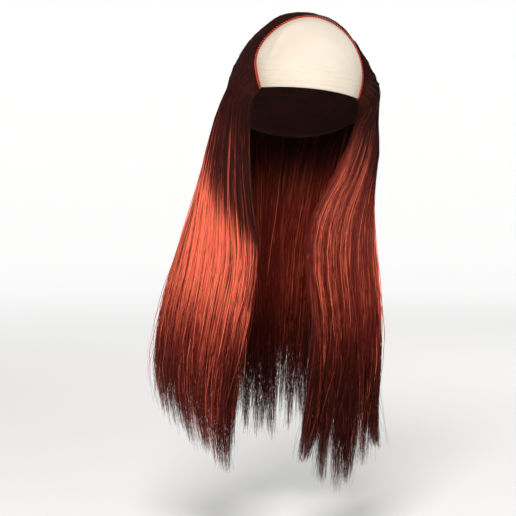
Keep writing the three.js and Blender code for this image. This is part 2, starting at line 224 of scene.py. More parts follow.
@dataclass(frozen=True)
class SeamArch:
    """Line of the raised seam, from one corner of the brow over the crown to the other."""

    head: HeadForm = HeadForm()
    half: float = 50.0
    top: float = 79.0
    welt: float = 2.6 * MM
    clearance: float = 0.35 * MM
    step: float = 0.01
    points: int = 800
    rows: tuple[ArchRow, ...] = (
        ArchRow(0.855, 0.14), ArchRow(0.93, 0.25), ArchRow(0.98, 0.41), ArchRow(1.0, 0.58),
        ArchRow(0.94, 0.74), ArchRow(0.8, 0.835), ArchRow(0.62, 0.885), ArchRow(0.4, 0.93),
        ArchRow(0.18, 0.975), ArchRow(0.0, 1.0),
    )

    @property
    def margin(self) -> float:
        """Distance from the middle of the seam to the cloth beside it."""
        return self.welt / 2 + self.clearance

    def direction(self, place: Array) -> Array:
        """Finds directions of the arch.

        Args:
            place: Places by length, -1 and 1 at the corners of the brow.

        Returns:
            Unit vectors in the head's own frame.
        """
        right = [(row.side * self.half, row.rise * self.top) for row in self.rows]
        left = [(-side, rise) for side, rise in right]
        keys = np.array([*left, *right[-2::-1]])[:, None, :]
        keys = np.concatenate([keys, np.zeros((len(keys), 1, 1))], axis=2)
        angles = spline(keys, np.linspace(0, len(keys) - 1, self.points)[None, :])[0, :, :2]
        length = run_length(angles)
        at = 2 * length / length[-1] - 1
        return side_direction(*(np.interp(place, at, angles[:, k]) for k in (0, 1)))

    def edge(self, place: Array, inset: float) -> Array:
        """Moves the arch sideways along the head.

        Args:
            place: Places from -1 to 1, held within them.
            inset: Distance to move, positive towards the panel.

        Returns:
            Unit vectors in the head's own frame.
        """
        place = np.clip(np.asarray(place, dtype=float), -1, 1)
        here = self.direction(place)
        ahead, behind = (self.direction(np.clip(place + step, -1, 1)) for step in (self.step, -self.step))
        inward = unit(np.cross(ahead - behind, here))
        reach = np.linalg.norm(self.head.own(self.head.place(here, 0.0)), axis=-1, keepdims=True)
        return unit(here * reach + inward * inset)


def new_mesh(name: str, points: Array, edges: list, faces: list) -> Mesh:
    """Makes mesh data with smooth faces, and refuses points that aren't numbers.

    Args:
        name: Name of the mesh.
        points: Points, with a last axis of 3.
        edges: Pairs of point numbers.
        faces: Lists of point numbers.

    Returns:
        The mesh.
    """
    if not np.isfinite(points).all():
        raise ValueError(f"{name} has a point that is not finite")
    mesh = bpy.data.meshes.new(name)
    mesh.from_pydata(points.reshape(-1, 3).tolist(), edges, faces)
    mesh.polygons.foreach_set("use_smooth", [True] * len(mesh.polygons))
    mesh.update()
    return mesh


def add_object(name: str, data: bpy.types.ID) -> Object:
    """Adds an object at the origin.

    Args:
        name: Name of the object.
        data: Its mesh, light or camera.

    Returns:
        The object.
    """
    obj = bpy.data.objects.new(name, data)
    bpy.context.scene.collection.objects.link(obj)
    return obj


def store(mesh: Mesh, name: str, values: Array, kind: str = "FLOAT") -> None:
    """Stores a number or a vector for each point of a mesh.

    Args:
        mesh: The mesh.
        name: Name of the attribute.
        values: Values in the order of the points.
        kind: FLOAT or FLOAT_VECTOR.
    """
    layer = mesh.attributes.new(name, kind, "POINT")
    key = "value" if kind == "FLOAT" else "vector"
    layer.data.foreach_set(key, np.asarray(values, dtype=np.float32).ravel())


def ring_faces(rings: int, sides: int) -> list[tuple[int, ...]]:
    """Faces between closed rings of points, one ring after the other."""
    corners = ((r * sides + k, r * sides + (k + 1) % sides) for r in range(rings - 1) for k in range(sides))
    return [(a, b, b + sides, a + sides) for a, b in corners]


def face_outwards(mesh: Mesh) -> None:
    """Turns the faces of a closed mesh outwards, by the sign of its volume.

    Args:
        mesh: The mesh.
    """
    mesh.calc_loop_triangles()
    points = np.empty(len(mesh.vertices) * 3)
    mesh.vertices.foreach_get("co", points)
    corners = np.empty(len(mesh.loop_triangles) * 3, dtype=np.int32)
    mesh.loop_triangles.foreach_get("vertices", corners)
    a, b, c = points.reshape(-1, 3)[corners.reshape(-1, 3)].transpose(1, 0, 2)
    if np.sum(a * np.cross(b, c)) < 0:
        mesh.flip_normals()


def wall_mesh(name: str, outer: Array, inner: Array, uv: Array) -> Mesh:
    """Makes a closed wall between two grids of points.

    Args:
        name: Name of the mesh.
        outer: Outer face, (columns, rows, 3).
        inner: Inner face, same shape.
        uv: Flat coordinates of the grid, (columns, rows, 2).

    Returns:
        The mesh, with a UV map.
    """
    columns, rows = outer.shape[:2]
    count = columns * rows
    index = np.arange(count).reshape(columns, rows)
    faces = []
    for c in range(columns - 1):
        for r in range(rows - 1):
            a, b, d, e = index[c, r], index[c + 1, r], index[c + 1, r + 1], index[c, r + 1]
            faces.append((a, b, d, e))
            faces.append((e + count, d + count, b + count, a + count))
    loop = [*index[:, 0], *index[-1, 1:], *index[-2::-1, -1], *index[0, -2:0:-1]]
    for a, b in zip(loop, loop[1:] + loop[:1]):
        faces.append((b, a, a + count, b + count))
    mesh = new_mesh(name, np.concatenate([outer.reshape(-1, 3), inner.reshape(-1, 3)]), [], faces)
    face_outwards(mesh)
    flat = np.concatenate([uv.reshape(-1, 2)] * 2)
    corner = np.empty(len(mesh.loops), dtype=np.int32)
    mesh.loops.foreach_get("vertex_index", corner)
    layer = mesh.uv_layers.new(name="UVMap")
    layer.data.foreach_set("uv", flat[corner].astype(np.float32).ravel())
    return mesh


def feed(tree: Tree, value: object, target: Socket) -> None:
    """Links a socket to an input, or sets the input's own value.

    Args:
        tree: Tree of the input.
        value: Socket, or a number, text, vector or colour.
        target: The input.
    """
    if isinstance(value, Socket):
        tree.links.new(value, target)
    else:
        target.default_value = (*value, 1) if target.type == "RGBA" else value


def node(tree: Tree, kind: str, inputs: dict | None = None, **settings: object) -> bpy.types.Node:
    """Adds a node.

    Args:
        tree: Tree that gets the node.
        kind: Blender's name of the kind of node.
        inputs: Socket or value for each input, by its name or number.
        settings: The node's own settings.

    Returns:
        The node.
    """
    made = tree.nodes.new(kind)
    for key, value in settings.items():
        setattr(made, key, value)
    for key, value in (inputs or {}).items():
        feed(tree, value, made.inputs[key])
    return made


def maths(tree: Tree, operation: str, *values: object) -> Socket:
    """Result of a Math node for sockets and numbers."""
    return node(tree, "ShaderNodeMath", dict(enumerate(values)), operation=operation).outputs[0]


def vector_maths(tree: Tree, operation: str, inputs: dict) -> Socket:
    """Vector that comes out of a Vector Math node."""
    return node(tree, "ShaderNodeVectorMath", inputs, operation=operation).outputs[0]


def wave(tree: Tree, turns: Socket, operation: str = "SINE") -> Socket:
    """Sine or cosine of a number of full turns."""
    return maths(tree, operation, maths(tree, "MULTIPLY", turns, FULL_TURN))


def noise(tree: Tree, place: Socket, scale: float, detail: float = 2.0) -> Socket:
    """Value of a noise texture."""
    values = {"Vector": place, "Scale": scale, "Detail": detail}
    return node(tree, "ShaderNodeTexNoise", values).outputs["Fac"]


def part(tree: Tree, vector: Socket, axis: int) -> Socket:
    """One coordinate of a vector."""
    return node(tree, "ShaderNodeSeparateXYZ", {0: vector}).outputs[axis]


def object_place(tree: Tree) -> Socket:
    """Place on the piece in its own coordinates."""
    return node(tree, "ShaderNodeTexCoord").outputs["Object"]


def stored(tree: Tree, name: str) -> Socket:
    """Value that the mesh stores under a name, for a material."""
    return node(tree, "ShaderNodeAttribute", attribute_name=name).outputs["Fac"]


def eased(tree: Tree, value: Socket, start: tuple[float, float], end: tuple[float, float]) -> Socket:
    """Smooth change of one value with another, each end given as a place and the result there."""
    values = {"Value": value, "From Min": start[0], "From Max": end[0], "To Min": start[1], "To Max": end[1]}
    return node(tree, "ShaderNodeMapRange", values, interpolation_type="SMOOTHSTEP").outputs[0]


class Group:
    """A node group with named inputs and outputs."""

    def __init__(self, name: str, kind: str, inputs: dict[str, str], outputs: dict[str, str]) -> None:
        """Makes the group and its interface.

        Args:
            name: Name of the group.
            kind: ShaderNodeTree or GeometryNodeTree.
            inputs: Kind of each input's socket, such as Float.
            outputs: Kind of each output's socket.
        """
        self.tree = bpy.data.node_groups.new(name, kind)
        self.keys = {}
        for way, sockets in (("OUTPUT", outputs), ("INPUT", inputs)):
            for key, socket in sockets.items():
                made = self.tree.interface.new_socket(key, in_out=way, socket_type=f"NodeSocket{socket}")
                self.keys[key] = made.identifier
        self.source = node(self.tree, "NodeGroupInput").outputs
        self.target = node(self.tree, "NodeGroupOutput").inputs

    def end(self, **values: Socket) -> Tree:
        """Joins the results to the outputs.

        Args:
            values: Socket for each output by name.

        Returns:
            The finished tree.
        """
        for key, value in values.items():
            feed(self.tree, value, self.target[key])
        return self.tree


class Finish:
    """A procedural material with a Principled BSDF, ready for its pattern."""

    def __init__(self, name: str, values: dict[str, object]) -> None:
        """Makes the material.

        Args:
            name: Name of the material.
            values: Values of the shader's inputs.
        """
        self.material = bpy.data.materials.new(name)
        self.material.use_nodes = True
        self.tree = self.material.node_tree
        self.dress(values)

    def dress(self, values: dict[str, object]) -> Material:
        """Joins or sets inputs of the shader.

        Args:
            values: Socket or value for each input by name.

        Returns:
            The material.
        """
        for key, value in values.items():
            feed(self.tree, value, self.tree.nodes["Principled BSDF"].inputs[key])
        return self.material

    def effect(self, group: Tree, values: dict[str, float]) -> bpy.types.bpy_prop_collection:
        """Outputs of a shared effect that is placed with its own values."""
        return node(self.tree, "ShaderNodeGroup", values, node_tree=group).outputs

    def bump(self, height: Socket, strength: float, distance: float) -> Socket:
        """Normal of a surface that is raised by a height."""
        values = {"Height": height, "Strength": strength, "Distance": distance}
        return node(self.tree, "ShaderNodeBump", values).outputs["Normal"]

    def ramp(self, source: Socket, stops: tuple[tuple[float, Colour], ...]) -> Socket:
        """Colours a value.

        Args:
            source: Value socket.
            stops: Places and colours.

        Returns:
            The colour socket.
        """
        made = node(self.tree, "ShaderNodeValToRGB", {"Fac": source})
        elements = made.color_ramp.elements
        while len(elements) < len(stops):
            elements.new(0.5)
        for element, (place, colour) in zip(elements, stops):
            element.position = place
            element.color = (*colour, 1)
        return made.outputs["Color"]

    def mix(self, factor: object, first: object, second: object, blend: str = "MIX") -> Socket:
        """Mix of two colours, each a socket or a plain colour."""
        values = {"Factor": factor, 6: first, 7: second}
        return node(self.tree, "ShaderNodeMix", values, data_type="RGBA", blend_type=blend).outputs[2]


def knit_group() -> Tree:
    """Makes a shared effect: a fine stretch knit on the piece's own UV map, in metres.

    Returns:
        Group with input Stitch Size and outputs Height and Mottle.
    """
    group = Group("stretch_knit", "ShaderNodeTree", {"Stitch Size": "Float"},
                  {"Height": "Float", "Mottle": "Float"})
    tree = group.tree
    uv = node(tree, "ShaderNodeUVMap", uv_map="UVMap").outputs["UV"]
    rate = maths(tree, "DIVIDE", FULL_TURN, group.source["Stitch Size"])
    waves = [maths(tree, "SINE", maths(tree, "MULTIPLY", part(tree, uv, k), rate)) for k in (0, 1)]
    weave = maths(tree, "MULTIPLY", maths(tree, "MULTIPLY", *waves), 0.35)
    return group.end(Height=maths(tree, "ADD", weave, noise(tree, uv, 900, 3)), Mottle=noise(tree, uv, 22))


def fibre_group() -> Tree:
    """Makes a shared effect: the painted light and shade of synthetic fibre, from the stored dye with its
    painted sheen and the stored painted shade with its mottle.

    Returns:
        Group with inputs Lift, which shifts the painted shade, and Streaks, and outputs Dye, Shade and
        Height.
    """
    group = Group("fibre_shade", "ShaderNodeTree", {"Lift": "Float", "Streaks": "Float"},
                  {"Dye": "Float", "Shade": "Float", "Height": "Float"})
    tree = group.tree
    drawn = {"Vector": object_place(tree), "Scale": (1.0, 1.0, 0.06)}
    streak = noise(tree, node(tree, "ShaderNodeMapping", drawn).outputs["Vector"], 420, 3)
    drift = maths(tree, "MULTIPLY", maths(tree, "SUBTRACT", streak, 0.5), group.source["Streaks"])
    tone = maths(tree, "ADD", stored(tree, "tone"), group.source["Lift"])
    return group.end(Dye=stored(tree, "dye"), Shade=maths(tree, "ADD", tone, drift), Height=streak)


@dataclass(frozen=True)
class HairFinish:
    """Silky synthetic fibre, dark at the root, bright along its length, browner at its tip; the bright length
    is partly dye and partly painted sheen.
    """

    name: str
    lift: float
    roughness: float
    root_roughness: float = 0.62
    streaks: float = 0.5
    sheen: Colour = (1.0, 0.36, 0.28)
    # Shaded and lit tints of the dyed colour, mixed by the painted shade
    dark: Colour = (0.14, 0.09, 0.09)
    bright: Colour = (1.28, 2.1, 2.1)
    # Colours along the hair: dye, with a painted sheen over the bright middle length
    dyes_and_sheen: tuple[tuple[float, Colour], ...] = (
        (0.0, (0.019, 0.0015, 0.0014)), (0.20, (0.030, 0.0020, 0.0018)),
        (0.27, (0.12, 0.0070, 0.0050)), (0.35, (0.82, 0.098, 0.054)),
        (0.62, (0.80, 0.094, 0.052)), (0.74, (0.26, 0.018, 0.012)),
        (0.86, (0.085, 0.0060, 0.0050)), (1.0, (0.075, 0.0055, 0.0045)),
    )

    def build(self, fibre: Tree) -> Material:
        """Makes the material.

        Args:
            fibre: The shared fibre effect.

        Returns:
            The material.
        """
        finish = Finish(self.name, {"Roughness": self.roughness, "Specular IOR Level": 0.42,
                                    "Specular Tint": self.sheen})
        effect = finish.effect(fibre, {"Lift": self.lift, "Streaks": self.streaks})
        base = finish.ramp(effect["Dye"], self.dyes_and_sheen)
        shade = node(finish.tree, "ShaderNodeClamp", {"Value": effect["Shade"]}).outputs[0]
        # Shaded and lit copies of the colour; the painted shade mixes them below
        dark, bright = (finish.mix(1.0, base, tint, "MULTIPLY") for tint in (self.dark, self.bright))
        gloss = eased(finish.tree, effect["Dye"], (0.2, self.root_roughness), (0.4, self.roughness))
        return finish.dress({"Base Color": finish.mix(shade, dark, bright), "Roughness": gloss,
                             "Normal": finish.bump(effect["Height"], strength=0.25, distance=0.4 * MM)})


@dataclass(frozen=True)
class PanelFinish:
    """Ivory stretch cloth, with painted shade that makes it a little deeper where it turns away from the
    light along its edges, and at the hem.
    """

    stitch: float = 0.7 * MM
    crease_pitch: float = 5.8 * MM
    crease_tilt: float = 0.13
    shades: tuple[tuple[float, Colour], ...] = ((0.3, (0.60, 0.525, 0.435)), (0.7, (0.645, 0.575, 0.49)))
    # Colour of the painted shade at the edges and the hem
    rim: Colour = (0.50, 0.40, 0.29)

    def build(self, knit: Tree) -> Material:
        """Makes the material.

        Args:
            knit: The shared knit effect.

        Returns:
            The material.
        """
        finish = Finish("ivory_stretch_cloth", {"Roughness": 0.72, "Specular IOR Level": 0.25,
                                                "Sheen Weight": 0.18, "Sheen Roughness": 0.5})
        effect = finish.effect(knit, {"Stitch Size": self.stitch})
        ivory = finish.ramp(effect["Mottle"], self.shades)
        weave = maths(finish.tree, "MULTIPLY", effect["Height"], 0.08)
        height = maths(finish.tree, "ADD", weave, self.creases(finish.tree))
        # The stored rim mixes in the painted shade
        return finish.dress({"Base Color": finish.mix(stored(finish.tree, "rim"), ivory, self.rim),
                             "Normal": finish.bump(height, strength=1.0, distance=0.8 * MM)})

    def creases(self, tree: Tree) -> Socket:
        """Makes the fine level creases above the hem.

        Args:
            tree: Tree of the material.

        Returns:
            Socket of the height.
        """
        place = object_place(tree)
        slope = maths(tree, "MULTIPLY", part(tree, place, 0), self.crease_tilt)
        level = maths(tree, "ADD", part(tree, place, 2), slope)
        drift = maths(tree, "MULTIPLY", noise(tree, place, 16), 1.5)
        turns = maths(tree, "ADD", maths(tree, "DIVIDE", level, self.crease_pitch), drift)
        valley = maths(tree, "POWER", maths(tree, "MAXIMUM", wave(tree, turns), 0.0), 4.0)
        return maths(tree, "MULTIPLY", valley, eased(tree, level, (-0.056, 0.0), (-0.078, -0.42)))


@dataclass(frozen=True)
class CapFinish:
    """Dark elastic net with a sewn band of hair every few millimetres."""

    mesh: float = 2.2 * MM
    band: float = 12 * MM
    shades: tuple[tuple[float, Colour], ...] = ((0.3, (0.034, 0.016, 0.014)), (0.7, (0.060, 0.027, 0.023)))
    sewn: Colour = (0.085, 0.014, 0.012)

    def build(self, knit: Tree) -> Material:
        """Makes the material.

        Args:
            knit: The shared knit effect.

        Returns:
            The material.
        """
        finish = Finish("dark_elastic_net", {"Roughness": 0.85, "Specular IOR Level": 0.2})
        tree = finish.tree
        effect = finish.effect(knit, {"Stitch Size": self.mesh})
        along = part(tree, node(tree, "ShaderNodeUVMap", uv_map="UVMap").outputs["UV"], 1)
        band = maths(tree, "GREATER_THAN", wave(tree, maths(tree, "DIVIDE", along, self.band)), 0.55)
        height = maths(tree, "ADD", effect["Height"], maths(tree, "MULTIPLY", band, 1.5))
        net = finish.ramp(effect["Mottle"], self.shades)
        return finish.dress({"Base Color": finish.mix(band, net, self.sewn),
                             "Normal": finish.bump(height, strength=0.6, distance=0.5 * MM)})


@dataclass(frozen=True)
class ThreadFinish:
    """Matt sewing thread or welt cloth with a soft mottle."""

    name: str
    low: Colour
    high: Colour

    def build(self) -> Material:
        """Makes the material.

        Returns:
            The material.
        """
        finish = Finish(self.name, {"Roughness": 0.7, "Specular IOR Level": 0.3})
        speck = noise(finish.tree, object_place(finish.tree), 700, 4)
        return finish.dress({"Base Color": finish.ramp(speck, ((0.35, self.low), (0.65, self.high))),
                             "Normal": finish.bump(speck, strength=0.3, distance=0.2 * MM)})


class NodeMaker(Group):
    """A Geometry Nodes group that dresses one object at a time."""

    def __init__(self, name: str, inputs: dict[str, str]) -> None:
        """Makes the group, with geometry in and out and a material as one more input."""
        whole = {"Geometry": "Geometry", **inputs, "Material": "Material"}
        super().__init__(name, "GeometryNodeTree", whole, {"Geometry": "Geometry"})

    def lines(self) -> Socket:
        """Curves along the loose edges of the object's mesh."""
        return node(self.tree, "GeometryNodeMeshToCurve", {"Mesh": self.source["Geometry"]}).outputs["Curve"]

    def named(self, name: str, kind: str) -> Socket:
        """Attribute that the points store under a name."""
        made = node(self.tree, "GeometryNodeInputNamedAttribute", {"Name": name}, data_type=kind)
        return made.outputs["Attribute"]

    def moved(self, curve: Socket, offset: Socket) -> Socket:
        """Curves with their points moved."""
        return node(self.tree, "GeometryNodeSetPosition", {"Geometry": curve, "Offset": offset}).outputs[0]

    def tube(self, curve: Socket, radius: Socket, sides: int) -> Socket:
        """Makes closed tubes along curves.

        Args:
            curve: The curves.
            radius: Radius at each point.
            sides: Number of sides.

        Returns:
            Socket of the mesh.
        """
        round_values = {"Resolution": sides, "Radius": 1.0}
        ring = node(self.tree, "GeometryNodeCurvePrimitiveCircle", round_values).outputs["Curve"]
        values = {"Curve": curve, "Profile Curve": ring, "Scale": radius, "Fill Caps": True}
        return node(self.tree, "GeometryNodeCurveToMesh", values).outputs["Mesh"]

    def finish(self, mesh: Socket, extra: Socket | None = None) -> None:
        """Ends the tree in Realize Instances and Set Material.

        Args:
            mesh: Socket of the made mesh.
            extra: Socket of geometry that keeps its own material, if there is any.
        """
        whole = node(self.tree, "GeometryNodeRealizeInstances", {"Geometry": mesh}).outputs[0]
        dressed = {"Geometry": whole, "Material": self.source["Material"]}
        result = node(self.tree, "GeometryNodeSetMaterial", dressed).outputs[0]
        if extra is not None:
            both = node(self.tree, "GeometryNodeJoinGeometry", {"Geometry": result})
            feed(self.tree, extra, both.inputs["Geometry"])
            result = both.outputs["Geometry"]
        self.end(Geometry=result)

    def apply(self, obj: Object, **values: object) -> None:
        """Runs the tree on an object and keeps the result as its plain mesh.

        Args:
            obj: Object to dress.
            values: Inputs by name.
        """
        modifier = obj.modifiers.new("make", "NODES")
        modifier.node_group = self.tree
        for key, value in values.items():
            modifier[self.keys[key]] = value
        bpy.context.view_layer.update()
        made = bpy.data.meshes.new_from_object(obj.evaluated_get(bpy.context.evaluated_depsgraph_get()))
        obj.modifiers.clear()
        obj.data = made
        made.name = obj.name
        made.polygons.foreach_set("use_smooth", [True] * len(made.polygons))


def strand_maker() -> NodeMaker:
    """Makes the tree that turns loose lines into fine closed strands round a core.

    Returns:
        Maker with inputs Radius, Frizz, Seed, Core and Material.
    """
    inputs = {"Radius": "Float", "Frizz": "Float", "Seed": "Float", "Core": "Object"}
    maker = NodeMaker("hair_strands", inputs)
    tree, source = maker.tree, maker.source
    place = node(tree, "GeometryNodeInputPosition").outputs[0]
    field_of = {"Vector": place, "W": source["Seed"], "Scale": 38}
    drift = node(tree, "ShaderNodeTexNoise", field_of, noise_dimensions="4D").outputs["Color"]
    centred = vector_maths(tree, "SUBTRACT", {0: drift, 1: (0.5, 0.5, 0.5)})
    strands = maker.moved(maker.lines(), vector_maths(tree, "SCALE", {0: centred, "Scale": source["Frizz"]}))
    radius = maths(tree, "MULTIPLY", maker.named("girth", "FLOAT"), source["Radius"])
    core = node(tree, "GeometryNodeObjectInfo", {"Object": source["Core"]}, transform_space="ORIGINAL")
    maker.finish(maker.tube(strands, radius, 3), core.outputs["Geometry"])
    return maker


def wrap_maker() -> NodeMaker:
    """Makes the tree that winds a thread round a line whose side and top directions are stored.

    Returns:
        Maker with inputs Turns, Wrap, Radius, Count and Material.
    """
    maker = NodeMaker("seam_thread", {"Turns": "Float", "Wrap": "Float", "Radius": "Float", "Count": "Int"})
    tree, source = maker.tree, maker.source
    points = {"Curve": maker.lines(), "Count": source["Count"]}
    even = node(tree, "GeometryNodeResampleCurve", points).outputs["Curve"]
    share = node(tree, "GeometryNodeSplineParameter").outputs["Factor"]
    turns = maths(tree, "MULTIPLY", share, source["Turns"])
    offsets = {}
    for slot, (name, operation) in enumerate((("beside", "COSINE"), ("upright", "SINE"))):
        amount = maths(tree, "MULTIPLY", wave(tree, turns, operation), source["Wrap"])
        offsets[slot] = vector_maths(tree, "SCALE", {0: maker.named(name, "FLOAT_VECTOR"), "Scale": amount})
    thread = maker.moved(even, vector_maths(tree, "ADD", offsets))
    maker.finish(maker.tube(thread, source["Radius"], 5))
    return maker


@dataclass(frozen=True)
class CapKey:
    """A key place of a hair path on the cap: share of the way, lift, thickness and fullness."""

    share: float
    lift: float
    thick: float
    flat: float
    full: float


@dataclass(frozen=True)
class TressRow:
    """A level of the tresses, in shares of the hair's length and reaches."""

    drop: float
    left: tuple[float, float]
    right: tuple[float, float]
    fore: float
    mid: float
    rear: float
    thick: float


@dataclass(frozen=True)
class CurtainRow:
    """A level of the curtain, in shares of the hair's length and reaches."""

    drop: float
    left: float
    middle: float
    right: float
    edge: float
    back: float
    thick: float


CAP_KEYS = (
    CapKey(0.006, 0.7, 0.04, 0.3, 0.9), CapKey(0.2, 0.85, 0.06, 0.5, 3.4),
    CapKey(0.4, 1.3, 0.18, 0.75, 3.2), CapKey(0.6, 1.9, 0.34, 0.98, 1.6),
    CapKey(0.8, 2.0, 0.48, 1.1, 1.05), CapKey(0.98, 2.0, 0.6, 1.08, 0.9),
)

TRESS = (
    TressRow(0.232, (0.425, 0.6), (0.53, 1.025), 0.49, 0.06, -0.25, 0.38),
    TressRow(0.31, (0.419, 0.656), (0.39, 1.0), 0.56, 0.12, -0.27, 0.56),
    TressRow(0.392, (0.405, 0.737), (-0.02, 0.925), 0.67, 0.29, -0.06, 0.7),
    TressRow(0.49, (0.373, 0.847), (-0.168, 0.907), 0.79, 0.47, 0.22, 0.86),
    TressRow(0.556, (0.405, 0.918), (-0.119, 0.924), 0.86, 0.6, 0.37, 1.0),
    TressRow(0.637, (0.46, 0.975), (-0.055, 0.936), 0.93, 0.67, 0.46, 0.95),
    TressRow(0.719, (0.495, 1.0), (-0.121, 0.912), 0.95, 0.72, 0.51, 0.87),
    TressRow(0.77, (0.525, 0.985), (-0.18, 0.875), 0.97, 0.74, 0.55, 0.72),
    TressRow(0.84, (0.545, 0.92), (-0.25, 0.85), 0.98, 0.77, 0.6, 0.45),
)

CURTAIN = (
    CurtainRow(0.25, -0.96, -0.12, 0.68, 0.16, 0.945, 0.62),
    CurtainRow(0.31, -0.98, -0.15, 0.63, 0.21, 0.96, 0.78),
    CurtainRow(0.392, -0.98, -0.2, 0.57, 0.35, 0.98, 1.0),
    CurtainRow(0.49, -0.95, -0.25, 0.51, 0.53, 0.98, 1.0),
    CurtainRow(0.6, -0.92, -0.27, 0.45, 0.64, 0.98, 0.92),
    CurtainRow(0.72, -0.88, -0.29, 0.37, 0.72, 0.97, 0.8),
    CurtainRow(0.8, -0.84, -0.29, 0.33, 0.74, 0.95, 0.45),
)


@dataclass(frozen=True)
class Level:
    """A hanging level of a mass: its bow, its height and its signed thickness."""

    bow: Array
    z: float
    thick: float


@dataclass(frozen=True)
class HairFall:
    """Paths that the hair takes: from the seam over the cap, then straight down."""

    arch: SeamArch
    length: float = 0.612
    left_reach: float = 0.209
    right_reach: float = 0.0885
    forward: float = 0.086
    backward: float = 0.15
    half_curtain: float = 0.13
    tress_thick: float = 0.03
    curtain_thick: float = 0.024
    root_lift: float = 0.0024
    tress_turn: float = 48.0
    side_turn: float = 95.0
    parting: float = 0.42

    def keys(self, place: Array, leave: Array, across: Array, levels: list[Level],
             thick: float) -> tuple[Array, Array]:
        """Finds key points over the cap and down the hanging levels.

        Args:
            place: Root places on the arch.
            leave: Directions where the hair leaves the head.
            across: Places across the mass, 0 to 1.
            levels: The hanging levels.
            thick: Thickness of the mass in its middle.

        Returns:
            Outer and inner key points, (keys, places, 3).
        """
        fade = 0.6 + 0.4 * np.sin(np.pi * across)
        start = self.arch.edge(place, -self.arch.margin)
        outer, inner = [], []
        for key in CAP_KEYS:
            direction = between(start, leave, np.full(len(place), key.share))
            lift = self.root_lift * key.lift
            outer.append(self.arch.head.place(direction, lift + MM + key.thick * (thick * fade)))
            inner.append(self.arch.head.place(direction, lift))
        t = np.linspace(0, 1, 101)[:, None]
        for level in levels:
            length = run_length(bow_point(level.bow, t))
            s = np.interp(np.clip(across, 0, 1) * length[-1], length, t[:, 0])[:, None]
            tangent = unit((level.bow[1] - level.bow[0]) * (1 - s) + (level.bow[2] - level.bow[1]) * s)
            outer.append(np.column_stack([bow_point(level.bow, s), np.full(len(s), level.z)]))
            inwards = np.column_stack([-tangent[:, 1], tangent[:, 0], np.zeros(len(s))])
            inner.append(outer[-1] + inwards * (level.thick * fade)[:, None])
        return np.array(outer), np.array(inner)

    def tress(self, hand: Hand, across: Array) -> tuple[Array, Array]:
        """Finds key points of the tresses in front of one shoulder.

        Args:
            hand: Side of the wig.
            across: Places across both tresses, 0 beside the face.

        Returns:
            Outer and inner key points, (keys, places, 3).
        """
        sign = hand.value
        turn = sign * (self.tress_turn + (self.side_turn - self.tress_turn) * across)
        reach = sign * (self.left_reach if hand is Hand.LEFT else self.right_reach)
        levels = []
        for row in TRESS:
            near_x, out_x = (reach * share for share in (row.left if hand is Hand.LEFT else row.right))
            far_x = out_x - sign * 4 * MM
            bulge_x = sign * min(abs(out_x) + 12 * MM, sign * (2 * out_x - (near_x + far_x) / 2))
            bulge_y = -self.forward * (2 * row.mid - (row.fore + row.rear) / 2) - 10 * MM
            bow = np.array([[near_x, -self.forward * row.fore], [bulge_x, bulge_y],
                            [far_x, -self.forward * row.rear]])
            levels.append(Level(bow, -row.drop * self.length, sign * self.tress_thick * row.thick))
        place = sign * (1 + (self.parting - 1) * across)
        return self.keys(place, compass_direction(turn, -3 - 2 * across), across, levels, self.tress_thick)

    def curtain(self, across: Array) -> tuple[Array, Array]:
        """Finds key points of the curtain at the back.

        Args:
            across: Places across the curtain, 0 at the left.

        Returns:
            Outer and inner key points, (keys, places, 3).
        """
        levels = []
        for row in CURTAIN:
            shares = np.array([(row.left, row.edge), (row.right, row.edge), (row.middle, row.back)])
            near, far, middle = shares * (self.half_curtain, self.backward)
            bow = np.array([near, 2 * middle - (near + far) / 2, far])
            levels.append(Level(bow, -row.drop * self.length, -self.curtain_thick * row.thick))
        turn = -self.side_turn + (2 * self.side_turn - 360) * across
        leave = compass_direction(turn, -5 - 20 * np.sin(np.pi * across))
        return self.keys(self.parting * (2 * across - 1), leave, across, levels, self.curtain_thick)


@dataclass(frozen=True)
class Tip:
    """Free end of a lock: how far aside and how low, in shares of reach and length."""

    aside: float
    drop: float


@dataclass(frozen=True)
class Dye:
    """Depths below the crown where the bright length starts and ends, at both sides; the bright length is
    partly dye and partly painted sheen where the hair drapes towards the light.
    """

    start_in: float
    start_out: float
    end_in: float
    end_out: float

    def place(self, depth: Array, across: Array) -> Array:
        """Finds places in the colour ramp, 0.3 to 0.7 over the bright length of dye and painted sheen.

        Args:
            depth: Depths below the crown.
            across: Places across the tresses of one side, 0 to 1.

        Returns:
            Places from 0 to 1.
        """
        start = self.start_in + (self.start_out - self.start_in) * across
        end = self.end_in + (self.end_out - self.end_in) * across
        return np.clip(0.3 + 0.4 * (depth - start) / (end - start), 0, 1)


# Where the bright length of dye and painted sheen starts and ends on each side; it starts higher where the
# hair faces the light
LEFT_DYE_AND_SHEEN = Dye(0.292, 0.158, 0.398, 0.352)
RIGHT_DYE_AND_SHEEN = Dye(0.17, 0.23, 0.385, 0.39)
BACK_DYE_AND_SHEEN = Dye(0.2, 0.2, 0.39, 0.39)

# Places across each side between which the hair over the cap goes from flat to full
FULL_RANGE = {Hand.LEFT: (2.0, 3.0), Hand.RIGHT: (-0.2, 0.3), None: (0.7, 1.0)}

# Distances and weights that smooth a course
SMOOTHING = ((-0.036, 0.12), (-0.018, 0.22), (0.0, 0.32), (0.018, 0.22), (0.036, 0.12))

# Waves along a strand's length and their share of its wander, of which a stray strand has more
SWAY = ((1.3, 0.7, True), (3.1, 0.5, False))


